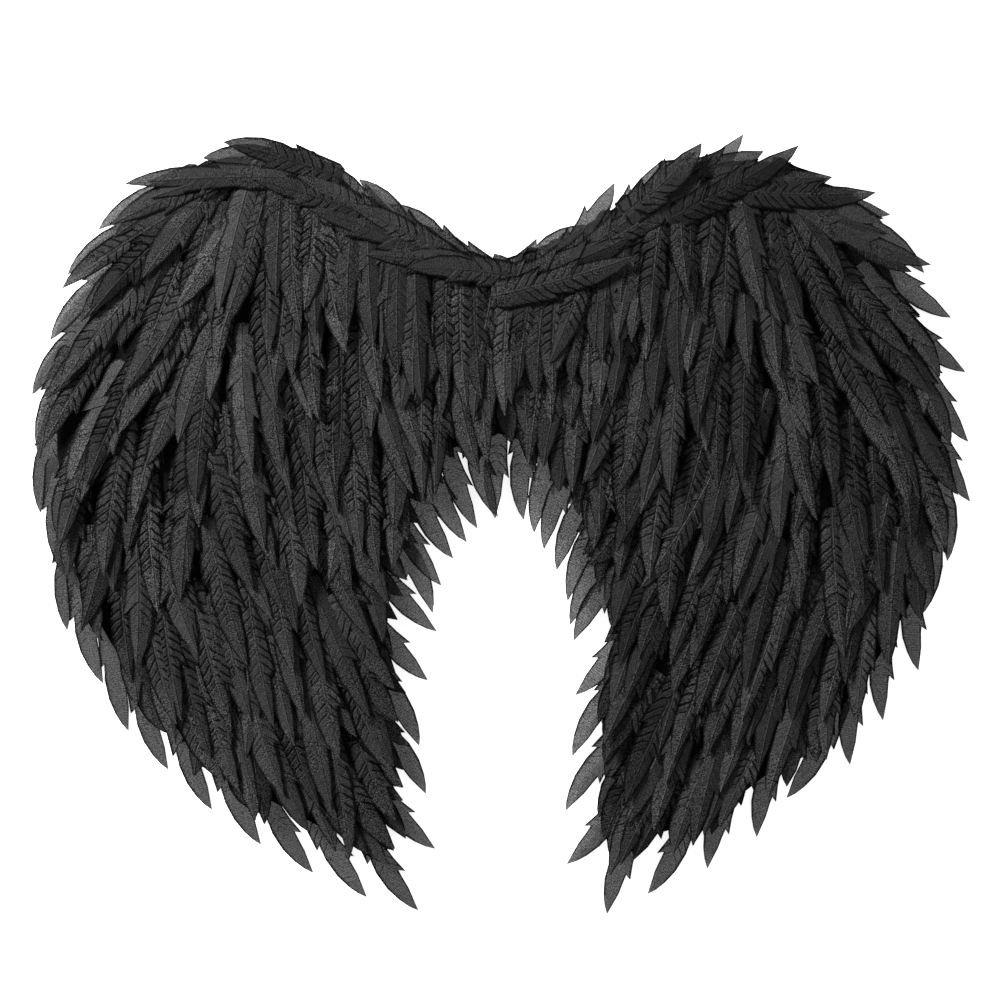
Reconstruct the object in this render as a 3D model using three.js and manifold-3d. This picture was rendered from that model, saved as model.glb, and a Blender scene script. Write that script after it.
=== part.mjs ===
// Black costume angel wings: felt panels covered with overlapping rows of die-cut cloth feathers.
// Units are millimetres. X runs along the span, Y from the wing tips up to the crest, and Z out
// of the feathered face. The wings lie face up, on the tips of the fringe and on the two straps.
import * as THREE from "three";
import { mergeVertices } from "three/addons/utils/BufferGeometryUtils.js";
import Module from "manifold-3d";

// Felt panels
const PANEL_REACH = 376; // from the spine line to the outermost edge of a wing panel
const PANEL_HEIGHT = 584; // from the top of the shoulder to the lower corner of a wing panel
const PANEL_THICKNESS = 2;
const SPINE_HALF_WIDTH = 50; // the flat panel between the two wing panels
const PANEL_COLUMNS = 7; // facets across a wing panel

// The lie of the wings: a shallow tent that is flat at the spine and meets the floor at its rim
const SPINE_RISE = 12;
const FLAT_RADIUS = 124;
const FOOT_RADIUS = 412;
const TENT_ROUNDNESS = 0.85; // the tent reaches this much less far along X than along Y

// Die-cut feathers
const FEATHER_LENGTH = 128;
const FEATHER_WIDTH = 25;
const FEATHER_THICKNESS = 1;
const FEATHER_VARIATION = 0.07; // share by which the lengths differ
const LEAN_VARIATION = 7; // degrees over which the directions differ
const TRIMMED_LENGTHS = [1, 0.85, 0.7, 0.55]; // shares of the length, the longest with room is used

// Rows of feathers, which follow arcs round a point above each shoulder
const ROW_PITCH = 72;
const FEATHER_PITCH = 28;
const ROW_CENTRE_REACH = 175;
const ROW_CENTRE_ABOVE = 62; // above the top of the shoulder
const FIRST_ROW_RADIUS = 96;
const ROW_LIFT = 3; // each row lies this much above the next one down
const ROW_OVERHANG = 42; // how far a tip may pass the edge of the panel
const ROW_COUNT = 12; // rows past the lower corner find no room and are left out
const BASE_OVERLAP = 1.5; // the bases of neighbouring feathers reach this far past halfway
const BASE_DEPTH = 26; // the outline narrows from the base to the blade over this length
const BASE_STEP = 0.3; // every other feather of a row lies this much higher

// Fringe under the rim of the panels
const FRINGE_PITCH = 47;
const FRINGE_OVERHANG = 68;
const FRINGE_TUCK = 30;

// Crest feathers along the top edge
const CREST_LENGTH = 98;
const CREST_PITCH = 27;
const CREST_LIFT = 4.6; // thickness of the strip that carries the crest feathers over the rows
const CREST_RISE = 3; // from the root of a crest feather to its tip
const CREST_TURN_OUT = 6; // degrees by which every other crest feather turns out of the wing
const CREST_TURN_IN = 15; // and the ones between turn in over the rows
const CREST_STRIP_WIDTH = 8; // it lies on the edge of the felt
const CREST_STRIP_ROOM = 2; // between the strip and the rows of feathers beside it

// Elastic shoulder straps, lying flat under the wings
const STRAP_WIDTH = 25;
const STRAP_THICKNESS = 1.2;
const STRAP_LOOP_REACH = 92; // from the anchors to the far end of the loop
const STRAP_ANCHOR_REACH = 54; // beside the spine
const STRAP_ANCHOR_SPACING = 96;
const STRAP_ABOVE_MIDDLE = 21; // the middle of the loop above the middle of the spine
const STRAP_SEWN = 12; // length sewn flat to the panel at each end
const STRAP_FLOOR_REACH = 118; // past this reach the strap lies on the floor
const STRAP_STEPS = 18;

const CLEARANCE = 0.3; // between pieces that touch

// The wing panel from the shoulder down to its lower corner. Drops are shares of PANEL_HEIGHT, and
// the inner and outer edges are shares of PANEL_REACH. The leans are degrees from straight down,
// outwards, of the feathers at the inner edge, in the middle and at the outer edge, and of the
// fringe at the inner edge.
const PANEL_SECTIONS = [
  { drop: 0.0, inner: 0.454, outer: 0.608, leanIn: -4, leanMid: 12, leanOut: 66, fringeIn: -4 },
  { drop: 0.02, inner: 0.395, outer: 0.689, leanIn: -6, leanMid: 8, leanOut: 70, fringeIn: -4 },
  { drop: 0.061, inner: 0.304, outer: 0.764, leanIn: -7, leanMid: 0, leanOut: 66, fringeIn: -4 },
  { drop: 0.124, inner: 0.143, outer: 0.85, leanIn: -5, leanMid: -6, leanOut: 58, fringeIn: -4 },
  { drop: 0.155, inner: 0.0, outer: 0.873, leanIn: -2, leanMid: -8, leanOut: 54, fringeIn: -4 },
  { drop: 0.232, inner: 0.0, outer: 0.923, leanIn: -2, leanMid: -10, leanOut: 46, fringeIn: -4 },
  { drop: 0.33, inner: 0.0, outer: 0.984, leanIn: -2, leanMid: -13, leanOut: 27, fringeIn: -6 },
  { drop: 0.406, inner: 0.0, outer: 1.0, leanIn: -3, leanMid: -15, leanOut: 18, fringeIn: -8 },
  { drop: 0.429, inner: 0.113, outer: 1.0, leanIn: -16, leanMid: -16, leanOut: 15, fringeIn: -21 },
  { drop: 0.474, inner: 0.181, outer: 0.993, leanIn: -22, leanMid: -16, leanOut: 11, fringeIn: -28 },
  { drop: 0.539, inner: 0.231, outer: 0.982, leanIn: -26, leanMid: -17, leanOut: 3, fringeIn: -33 },
  { drop: 0.634, inner: 0.277, outer: 0.946, leanIn: -28, leanMid: -18, leanOut: -6, fringeIn: -40 },
  { drop: 0.709, inner: 0.277, outer: 0.88, leanIn: -29, leanMid: -20, leanOut: -11, fringeIn: -42 },
  { drop: 0.774, inner: 0.27, outer: 0.816, leanIn: -31, leanMid: -22, leanOut: -17, fringeIn: -42 },
  { drop: 0.847, inner: 0.265, outer: 0.714, leanIn: -33, leanMid: -26, leanOut: -22, fringeIn: -41 },
  { drop: 0.926, inner: 0.265, outer: 0.558, leanIn: -35, leanMid: -31, leanOut: -28, fringeIn: -38 },
  { drop: 0.98, inner: 0.27, outer: 0.401, leanIn: -35, leanMid: -33, leanOut: -32, fringeIn: -36 },
  { drop: 1.0, inner: 0.275, outer: 0.3, leanIn: -35, leanMid: -34, leanOut: -34, fringeIn: -35 },
];

// The sections where the crest edge meets the spine line, where the panel leaves it, and the last
const SPINE_TOP = PANEL_SECTIONS.findIndex(({ inner }) => inner === 0);
const SPINE_FOOT = PANEL_SECTIONS.findLastIndex(({ inner }) => inner === 0);
const LOWER_CORNER = PANEL_SECTIONS.length - 1;

// The outline of a feather: distances from the tip are shares of FEATHER_LENGTH, and widths are
// shares of half its width. Each edge has a belly, then a notch that a pointed tooth stands over.
const INNER_EDGE = [
  { fromTip: 0.16, width: 0.7 },
  { fromTip: 0.37, width: 0.5 },
  { fromTip: 0.345, width: 1.0 },
];
const OUTER_EDGE = [
  { fromTip: 0.24, width: 0.85 },
  { fromTip: 0.575, width: 0.66 },
  { fromTip: 0.55, width: 1.0 },
];

// Heights of the layers above the tent surface
const PANEL_BOTTOM = FEATHER_THICKNESS + BASE_STEP + 2 * CLEARANCE;
const ROW_BOTTOM = PANEL_BOTTOM + PANEL_THICKNESS + CLEARANCE;

const { lerp, clamp, smoothstep, degToRad, radToDeg } = THREE.MathUtils;
const LEFT = { name: "left", sign: -1, seed: 3 };
const RIGHT = { name: "right", sign: 1, seed: 11 };
const wasm = await Module();
wasm.setup();

// A repeatable number from -0.5 to 0.5 for a pair of whole numbers.
function scatter(first, second) {
  const wave = Math.sin(first * 12.9898 + second * 78.233) * 43758.5453;
  return wave - Math.floor(wave) - 0.5;
}

// Solids from closed geometry, and back.
function solidFrom(geometry) {
  const bare = geometry.index ? geometry.toNonIndexed() : geometry.clone();
  bare.deleteAttribute("normal");
  bare.deleteAttribute("uv");
  const merged = mergeVertices(bare, 1e-3);
  return new wasm.Manifold(
    new wasm.Mesh({
      numProp: 3,
      vertProperties: merged.attributes.position.array,
      triVerts: new Uint32Array(merged.index.array),
    }),
  );
}

function geometryFrom(solid) {
  const mesh = solid.getMesh();
  const geometry = new THREE.BufferGeometry();
  geometry.setAttribute("position", new THREE.BufferAttribute(mesh.vertProperties, mesh.numProp));
  geometry.setIndex(new THREE.BufferAttribute(mesh.triVerts, 1));
  geometry.computeVertexNormals();
  return geometry;
}

function fuse(geometries) {
  return geometryFrom(geometries.map(solidFrom).reduce((whole, piece) => whole.add(piece)));
}

// A closed slab over a grid of places, given as rows of [x, y, z] on its underside.
function slab(grid, thickness) {
  const [rows, columns] = [grid.length, grid[0].length];
  const positions = [0, thickness].flatMap((lift) => grid.flat().flatMap(([x, y, z]) => [x, y, z + lift]));
  const at = (row, column, layer) => (layer * rows + row) * columns + column;
  const faces = [];
  const quad = (a, b, c, d) => faces.push(a, b, c, a, c, d);
  for (let i = 1; i < rows; i++)
    for (let j = 1; j < columns; j++) {
      quad(at(i - 1, j - 1, 0), at(i - 1, j, 0), at(i, j, 0), at(i, j - 1, 0));
      quad(at(i - 1, j - 1, 1), at(i, j - 1, 1), at(i, j, 1), at(i - 1, j, 1));
    }
  for (let j = 1; j < columns; j++) {
    quad(at(0, j - 1, 1), at(0, j, 1), at(0, j, 0), at(0, j - 1, 0));
    quad(at(rows - 1, j, 1), at(rows - 1, j - 1, 1), at(rows - 1, j - 1, 0), at(rows - 1, j, 0));
  }
  for (let i = 1; i < rows; i++) {
    quad(at(i, 0, 1), at(i - 1, 0, 1), at(i - 1, 0, 0), at(i, 0, 0));
    quad(at(i - 1, columns - 1, 1), at(i, columns - 1, 1), at(i, columns - 1, 0), at(i - 1, columns - 1, 0));
  }
  const geometry = new THREE.BufferGeometry();
  geometry.setAttribute("position", new THREE.Float32BufferAttribute(positions, 3));
  geometry.setIndex(faces);
  return geometry;
}

// The height of the tent surface that every layer follows.
const SPINE_MIDDLE = -(PANEL_HEIGHT * (PANEL_SECTIONS[SPINE_TOP].drop + PANEL_SECTIONS[SPINE_FOOT].drop)) / 2;
function tentHeight(x, y) {
  const radius = Math.hypot(x, (y - SPINE_MIDDLE) * TENT_ROUNDNESS);
  const share = Math.max(0, radius - FLAT_RADIUS) / (FOOT_RADIUS - FLAT_RADIUS);
  return SPINE_RISE * Math.max(0, 1 - share);
}

// The panel's edges and leans at a drop, between the two nearest sections.
function sectionAt(drop) {
  const share = clamp(drop, 0, 1);
  const below = Math.max(1, PANEL_SECTIONS.findIndex((section) => section.drop >= share));
  const [from, to] = [PANEL_SECTIONS[below - 1], PANEL_SECTIONS[below]];
  const mix = (share - from.drop) / (to.drop - from.drop);
  return Object.fromEntries(Object.keys(from).map((key) => [key, lerp(from[key], to[key], mix)]));
}

function isOnPanel({ reach, y }) {
  const drop = -y / PANEL_HEIGHT;
  const { inner, outer } = sectionAt(drop);
  return drop >= 0 && drop <= 1 && reach >= inner * PANEL_REACH && reach <= outer * PANEL_REACH;
}

// The direction of the covering feathers at a place, in degrees outwards from straight down.
function leanAt({ reach, y }) {
  const { inner, outer, leanIn, leanMid, leanOut } = sectionAt(-y / PANEL_HEIGHT);
  const across = clamp((reach / PANEL_REACH - inner) / (outer - inner), 0, 1);
  const outwards = smoothstep(across, 0.5, 1);
  return across < 0.5 ? lerp(leanIn, leanMid, across * 2) : lerp(leanMid, leanOut, outwards);
}

// Places on a wing are given by their reach from the spine line and their y.
function step({ reach, y }, lean, distance) {
  const angle = degToRad(lean);
  return { reach: reach + Math.sin(angle) * distance, y: y - Math.cos(angle) * distance };
}

function between(from, to, mix) {
  return { reach: lerp(from.reach, to.reach, mix), y: lerp(from.y, to.y, mix) };
}

function gap(from, to) {
  return Math.hypot(to.reach - from.reach, to.y - from.y);
}

// Places along the edge of a wing panel, from one section to another.
function edgePath(from, to, side, leanColumn) {
  const turn = Math.sign(to - from) || 1;
  const path = [];
  for (let i = from; i !== to + turn; i += turn) {
    const section = PANEL_SECTIONS[i];
    path.push({
      reach: section[side] * PANEL_REACH,
      y: -section.drop * PANEL_HEIGHT,
      lean: section[leanColumn],
    });
  }
  return path;
}

function pathLength(path) {
  return path.slice(1).reduce((sum, to, i) => sum + gap(path[i], to), 0);
}

// The place and the lean at a distance along a path. Past its end it goes straight on.
function pointAlong(path, distance) {
  let left = distance;
  let i = 1;
  while (i < path.length - 1 && left > gap(path[i - 1], path[i])) {
    left -= gap(path[i - 1], path[i]);
    i++;
  }
  const mix = left / gap(path[i - 1], path[i]);
  const lean = lerp(path[i - 1].lean, path[i].lean, clamp(mix, 0, 1));
  return { ...between(path[i - 1], path[i], mix), lean };
}

function distanceTo(path, place) {
  const steps = Math.ceil(pathLength(path) / 5);
  const places = Array.from({ length: steps + 1 }, (_, i) => pointAlong(path, i * 5));
  return Math.min(...places.map((other) => gap(other, place)));
}

// One feather as a bent prism. Its base runs between two places, and height gives the level of
// its underside from a place on it and the distance of that place from the root.
function featherPrism(wing, feather, height) {
  const { reach, y, lean, length, base } = feather;
  const root = { reach, y };
  const place = (fromTip, side, width) => {
    const middle = step(root, lean, length - fromTip * FEATHER_LENGTH);
    return step(middle, lean + 90, (side * width * FEATHER_WIDTH) / 2);
  };
  const isPastBase = ({ fromTip }) => length - fromTip * FEATHER_LENGTH > BASE_DEPTH;
  const outerEdge = OUTER_EDGE.filter(isPastBase).map(({ fromTip, width }) => place(fromTip, 1, width));
  const innerEdge = INNER_EDGE.filter(isPastBase).map(({ fromTip, width }) => place(fromTip, -1, width));
  const points = [...base, ...outerEdge.reverse(), place(0, 1, 0), ...innerEdge];
  const nearest = Math.min(...points.map((point) => point.reach));
  const shift = Math.max(0, CLEARANCE / 2 - nearest);
  const outline = points.map((point) => new THREE.Vector2((point.reach + shift) * wing.sign, point.y));
  const prism = new THREE.ExtrudeGeometry(new THREE.Shape(outline), {
    depth: FEATHER_THICKNESS,
    bevelEnabled: false,
  });
  const corners = prism.attributes.position;
  for (let i = 0; i < corners.count; i++) {
    const x = corners.getX(i);
    const distance = gap(root, { reach: x * wing.sign - shift, y: corners.getY(i) });
    corners.setZ(i, corners.getZ(i) + height(x, corners.getY(i), distance));
  }
  return prism;
}

// Gives each feather of a line a base that reaches halfway to its neighbours and a little past.
function withJoinedBases(feathers) {
  return feathers.map((feather, i) => {
    const before = feathers[i - 1] ?? between(feathers[i + 1], feather, 2);
    const after = feathers[i + 1] ?? between(feathers[i - 1], feather, 2);
    const past = (other) => between(feather, other, 0.5 + BASE_OVERLAP / gap(feather, other));
    return { ...feather, base: [past(before), past(after)] };
  });
}

// Felt panels
function halfPanel(wing) {
  const grid = PANEL_SECTIONS.map(({ drop, inner, outer }) =>
    Array.from({ length: PANEL_COLUMNS + 1 }, (_, j) => {
      const x = lerp(inner, outer, j / PANEL_COLUMNS) * PANEL_REACH * wing.sign;
      const y = -drop * PANEL_HEIGHT;
      return [x, y, tentHeight(x, y) + PANEL_BOTTOM];
    }),
  );
  return slab(wing.sign > 0 ? grid : grid.map((row) => row.reverse()), PANEL_THICKNESS);
}

function spineBox(halfWidth) {
  return solidFrom(new THREE.BoxGeometry(halfWidth * 2, PANEL_HEIGHT * 2, SPINE_RISE * 4));
}

function wingPanel(wing) {
  return geometryFrom(solidFrom(halfPanel(wing)).subtract(spineBox(SPINE_HALF_WIDTH + CLEARANCE)));
}

function spinePanel() {
  const both = solidFrom(halfPanel(LEFT)).add(solidFrom(halfPanel(RIGHT)));
  return geometryFrom(both.intersect(spineBox(SPINE_HALF_WIDTH)));
}

// Rows of covering feathers
const CREST_PATH = [
  ...edgePath(SPINE_TOP, 0, "inner", "leanOut"),
  ...edgePath(0, 1, "outer", "leanOut"),
];

function rowCoordinate(x, y) {
  const radius = Math.hypot(Math.abs(x) - ROW_CENTRE_REACH, y - ROW_CENTRE_ABOVE);
  return (radius - FIRST_ROW_RADIUS) / ROW_PITCH;
}

function clearsCrest(place) {
  return distanceTo(CREST_PATH, place) > CREST_STRIP_WIDTH / 2 + CREST_STRIP_ROOM;
}

// The length of a covering feather, trimmed where its tip would pass too far beyond the panel.
function lengthWithRoom(root, lean, length) {
  const lengths = TRIMMED_LENGTHS.map((share) => share * length);
  return lengths.find((trimmed) => {
    const tip = step(root, lean, trimmed - ROW_OVERHANG);
    return isOnPanel({ ...tip, reach: Math.max(0, tip.reach) });
  });
}

// The longest unbroken run of feathers that finds room on the panel along one arc.
function feathersOfRow(wing, row) {
  const radius = FIRST_ROW_RADIUS + row * ROW_PITCH;
  const turnStep = FEATHER_PITCH / radius;
  const count = Math.ceil(Math.PI / turnStep);
  const centre = { reach: ROW_CENTRE_REACH, y: ROW_CENTRE_ABOVE };
  const runs = [[]];
  for (let i = -count; i <= count; i++) {
    const turn = (i + (row % 2) / 2 + wing.seed / 40) * turnStep;
    const root = step(centre, radToDeg(turn), radius);
    const lean = leanAt(root) + scatter(row + wing.seed, i) * LEAN_VARIATION;
    const fullLength = FEATHER_LENGTH * (1 + scatter(row, i + wing.seed) * FEATHER_VARIATION);
    const length = lengthWithRoom(root, lean, fullLength);
    const base = [-0.5, 0, 0.5].map((share) => step(centre, radToDeg(turn + share * turnStep), radius));
    const fits =
      root.reach > FEATHER_WIDTH / 4 &&
      length &&
      base.every((place) => isOnPanel({ ...place, reach: Math.max(0, place.reach) }) && clearsCrest(place));
    if (fits) runs.at(-1).push({ ...root, lean, length });
    else if (runs.at(-1).length) runs.push([]);
  }
  return runs.reduce((longest, run) => (run.length > longest.length ? run : longest));
}

function featherRow(wing, row, feathers) {
  const prisms = withJoinedBases(feathers).map((feather, i) =>
    featherPrism(wing, feather, (x, y) => {
      const climb = ROW_LIFT * Math.max(0, rowCoordinate(x, y) - row);
      return tentHeight(x, y) + ROW_BOTTOM + climb + (i % 2) * BASE_STEP;
    }),
  );
  return fuse(prisms);
}

// Fringe: a line of feathers under the rim, from the foot of the spine round to the shoulder.
function fringe(wing) {
  const path = [
    ...edgePath(SPINE_FOOT, LOWER_CORNER, "inner", "fringeIn"),
    ...edgePath(LOWER_CORNER, 1, "outer", "leanOut"),
  ];
  const count = Math.round(pathLength(path) / FRINGE_PITCH);
  const pitch = pathLength(path) / count;
  const feathers = Array.from({ length: count }, (_, i) => {
    const edge = pointAlong(path, (i + 0.3 + wing.seed / 40) * pitch);
    const lean = edge.lean + scatter(i, wing.seed) * LEAN_VARIATION;
    const overhang = FRINGE_OVERHANG * (1 + scatter(wing.seed, i) * FEATHER_VARIATION * 2);
    return { ...step(edge, lean, -FRINGE_TUCK), lean, length: overhang + FRINGE_TUCK };
  });
  const prisms = withJoinedBases(feathers).map((feather, i) =>
    featherPrism(wing, feather, (x, y) => tentHeight(x, y) + (i % 2) * BASE_STEP),
  );
  return fuse(prisms);
}

// Crest: a line of feathers that lie one over the next along the top edge, from the spine outwards,
// on a strip along the edge of the felt.
function crestStrip(wing) {
  const steps = Math.round(pathLength(CREST_PATH) / CREST_PITCH);
  const grid = Array.from({ length: steps + 1 }, (_, i) => {
    const distance = CREST_STRIP_WIDTH / 2 + (i / steps) * (pathLength(CREST_PATH) - CREST_STRIP_WIDTH);
    const middle = pointAlong(CREST_PATH, distance);
    const next = pointAlong(CREST_PATH, distance + 1);
    const along = radToDeg(Math.atan2(next.reach - middle.reach, middle.y - next.y));
    return [-1, 1].map((side) => {
      const edge = step(middle, along + 90, (side * CREST_STRIP_WIDTH) / 2);
      const x = edge.reach * wing.sign;
      return [x, edge.y, tentHeight(x, edge.y) + ROW_BOTTOM];
    });
  });
  const thickness = CREST_LIFT + FEATHER_THICKNESS / 2;
  return slab(wing.sign > 0 ? grid : grid.map((row) => row.reverse()), thickness);
}

function crest(wing) {
  const count = Math.round(pathLength(CREST_PATH) / CREST_PITCH);
  const prisms = Array.from({ length: count }, (_, i) => {
    const from = pointAlong(CREST_PATH, (i + 0.2 + wing.seed / 40) * CREST_PITCH);
    const to = pointAlong(CREST_PATH, (i + 1.5) * CREST_PITCH + CREST_LENGTH / 2);
    const along = radToDeg(Math.atan2(to.reach - from.reach, from.y - to.y));
    const turn = i % 2 ? CREST_TURN_OUT : -CREST_TURN_IN;
    const lean = along + turn + scatter(i, wing.seed) * LEAN_VARIATION;
    const base = [-1, 1].map((side) => step(from, lean + 90, side * (FEATHER_WIDTH / 4)));
    return featherPrism(wing, { ...from, lean, length: CREST_LENGTH, base }, (x, y, distance) => {
      return tentHeight(x, y) + ROW_BOTTOM + CREST_LIFT + (CREST_RISE * distance) / CREST_LENGTH;
    });
  });
  return fuse([crestStrip(wing), ...prisms]);
}

// Shoulder straps: each runs in a flat loop between two places beside the spine.
function strap(wing) {
  const height = tentHeight(0, SPINE_MIDDLE) + PANEL_BOTTOM - CLEARANCE - STRAP_THICKNESS;
  const middle = (turn) => ({
    reach: STRAP_ANCHOR_REACH + STRAP_LOOP_REACH * Math.sin(turn),
    y: SPINE_MIDDLE + STRAP_ABOVE_MIDDLE + (STRAP_ANCHOR_SPACING / 2) * Math.cos(turn),
  });
  const grid = Array.from({ length: STRAP_STEPS + 1 }, (_, i) => {
    const turn = (Math.PI * i) / STRAP_STEPS;
    const heading = { reach: STRAP_LOOP_REACH * Math.cos(turn), y: -(STRAP_ANCHOR_SPACING / 2) * Math.sin(turn) };
    const lean = radToDeg(Math.atan2(heading.reach, -heading.y));
    const z = height * (1 - smoothstep(middle(turn).reach, STRAP_ANCHOR_REACH + STRAP_SEWN, STRAP_FLOOR_REACH));
    return [-1, 1].map((side) => {
      const edge = step(middle(turn), lean + 90, (side * STRAP_WIDTH) / 2);
      return [edge.reach * wing.sign, edge.y, z];
    });
  });
  return slab(wing.sign > 0 ? grid : grid.map((row) => row.reverse()), STRAP_THICKNESS);
}

// Assembly
const wings = new THREE.Group();
wings.name = "costume_wings";
const felt = new THREE.MeshStandardMaterial({ color: "#141416", roughness: 0.95 });
const satin = new THREE.MeshStandardMaterial({ color: "#1d1d20", roughness: 0.6 });
const elastic = new THREE.MeshStandardMaterial({ color: "#101012", roughness: 0.8 });

function addPiece(name, geometry, material) {
  const flat = geometry.index ? geometry.toNonIndexed() : geometry;
  flat.computeVertexNormals();
  const mesh = new THREE.Mesh(flat, material);
  mesh.name = name;
  wings.add(mesh);
}

addPiece("spine_panel", spinePanel(), felt);
for (const wing of [LEFT, RIGHT]) {
  addPiece(`wing_panel_${wing.name}`, wingPanel(wing), felt);
  addPiece(`strap_${wing.name}`, strap(wing), elastic);
  addPiece(`fringe_${wing.name}`, fringe(wing), satin);
  addPiece(`crest_${wing.name}`, crest(wing), satin);
  for (let row = 0; row < ROW_COUNT; row++) {
    const feathers = feathersOfRow(wing, row);
    if (feathers.length < 2) continue;
    const number = String(row + 1).padStart(2, "0");
    addPiece(`feather_row_${wing.name}_${number}`, featherRow(wing, row, feathers), satin);
  }
}

// The origin is the middle of the underside of the whole.
const bounds = new THREE.Box3().setFromObject(wings);
const middle = bounds.getCenter(new THREE.Vector3());
wings.children.forEach((piece) => piece.position.set(-middle.x, -middle.y, -bounds.min.z));

export default wings;
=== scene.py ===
"""Black costume angel wings, lying face up on a white floor and seen from straight above."""

import math
import random
from collections import namedtuple

import bmesh
import bpy
import numpy as np
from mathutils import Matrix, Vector, noise


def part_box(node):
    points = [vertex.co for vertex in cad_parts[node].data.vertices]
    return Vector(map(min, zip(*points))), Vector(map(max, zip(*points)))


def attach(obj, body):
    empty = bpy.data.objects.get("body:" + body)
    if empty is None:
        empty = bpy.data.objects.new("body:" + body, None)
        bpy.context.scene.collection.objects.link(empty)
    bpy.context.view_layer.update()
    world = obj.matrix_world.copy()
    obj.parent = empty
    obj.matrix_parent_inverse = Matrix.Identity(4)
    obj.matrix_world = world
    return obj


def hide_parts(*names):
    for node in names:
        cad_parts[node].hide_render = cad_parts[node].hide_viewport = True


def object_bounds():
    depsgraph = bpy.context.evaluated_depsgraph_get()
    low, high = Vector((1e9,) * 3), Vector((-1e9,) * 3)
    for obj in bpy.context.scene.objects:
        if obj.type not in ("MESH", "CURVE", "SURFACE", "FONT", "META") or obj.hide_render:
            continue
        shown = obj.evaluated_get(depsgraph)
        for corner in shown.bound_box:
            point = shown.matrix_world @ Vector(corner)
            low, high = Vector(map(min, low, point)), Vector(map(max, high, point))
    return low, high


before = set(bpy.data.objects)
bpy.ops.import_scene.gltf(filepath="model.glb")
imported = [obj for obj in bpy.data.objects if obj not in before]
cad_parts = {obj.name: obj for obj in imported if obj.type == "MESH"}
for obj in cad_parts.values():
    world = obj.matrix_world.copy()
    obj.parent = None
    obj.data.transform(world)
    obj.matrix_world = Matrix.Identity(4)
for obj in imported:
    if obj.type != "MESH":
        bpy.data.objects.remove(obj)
cad_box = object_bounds()
MM = 0.001


# Camera: straight above the wings, far enough off to flatten them as a long lens does.
PHOTO_SIZE = 1000
PHOTO_SPAN = 936  # pixels across the wings in the photograph
PHOTO_DROP = 18  # pixels from the middle of the photograph down to the middle of the wings
CAMERA_HEIGHT = 3.0
metres_per_pixel = (cad_box[1].x - cad_box[0].x) / PHOTO_SPAN
centre = (cad_box[0] + cad_box[1]) / 2
camera_data = bpy.data.cameras.new("camera")
camera_data.sensor_width = 36
camera_data.lens = camera_data.sensor_width * CAMERA_HEIGHT / (metres_per_pixel * PHOTO_SIZE)
camera = bpy.data.objects.new("camera", camera_data)
camera.location = (centre.x, centre.y + PHOTO_DROP * metres_per_pixel, CAMERA_HEIGHT)
bpy.context.scene.collection.objects.link(camera)
bpy.context.scene.camera = camera


# Studio: a white light table in an even white room, with a broad key light from the upper left and
# a weaker one from the right.
FLOOR_SIZE = 8.0
FLOOR_GAP = 0.0005  # between the floor and the lowest feather
FLOOR_GLOW = 0.8
ROOM_LIGHT = 0.3
KEY_PLACE = (-2.0, 1.2, 1.15)
KEY_SIZE = 0.8
KEY_POWER = 215
FILL_PLACE = (1.8, 0.6, 1.4)
FILL_SIZE = 1.2
FILL_POWER = 14


def soft_light(name, place, size, power):
    data = bpy.data.lights.new(name, "AREA")
    data.shape = "DISK"
    data.size = size
    data.energy = power
    light = bpy.data.objects.new(name, data)
    light.location = place
    light.rotation_euler = (centre - Vector(place)).to_track_quat("-Z", "Y").to_euler()
    bpy.context.scene.collection.objects.link(light)


soft_light("key_light", KEY_PLACE, KEY_SIZE, KEY_POWER)
soft_light("fill_light", FILL_PLACE, FILL_SIZE, FILL_POWER)

room = bpy.data.worlds.new("room")
room.use_nodes = True
room.node_tree.nodes["Background"].inputs["Color"].default_value = (1, 1, 1, 1)
room.node_tree.nodes["Background"].inputs["Strength"].default_value = ROOM_LIGHT
bpy.context.scene.world = room
bpy.context.scene.view_settings.view_transform = "Standard"

bpy.ops.mesh.primitive_plane_add(size=FLOOR_SIZE, location=(0, 0, -FLOOR_GAP))
floor = bpy.context.object
floor.name = "floor"
floor_paint = bpy.data.materials.new("white_floor")
floor_paint.use_nodes = True
floor_shader = floor_paint.node_tree.nodes["Principled BSDF"]
floor_shader.inputs["Base Color"].default_value = (0.93, 0.93, 0.93, 1)
floor_shader.inputs["Roughness"].default_value = 0.9
floor_shader.inputs["Emission Color"].default_value = (1, 1, 1, 1)
floor_shader.inputs["Emission Strength"].default_value = FLOOR_GLOW
floor.data.materials.append(floor_paint)


# Felt back: one sheet of stiff black felt, cut to the shape of both wings, which carries all the
# feathers. It lies as a shallow tent, flat at the spine, that comes down to the floor at its rim.
SPINE_RISE = 12
FLAT_RADIUS = 124
FOOT_RADIUS = 412
TENT_ROUNDNESS = 0.85  # the tent reaches this share as far along X as along Y
FELT_THICKNESS = 2
FELT_BOTTOM = 1.9
FELT_COLUMNS = 14
FELT_COLOUR = (0.003, 0.003, 0.003, 1)

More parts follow.
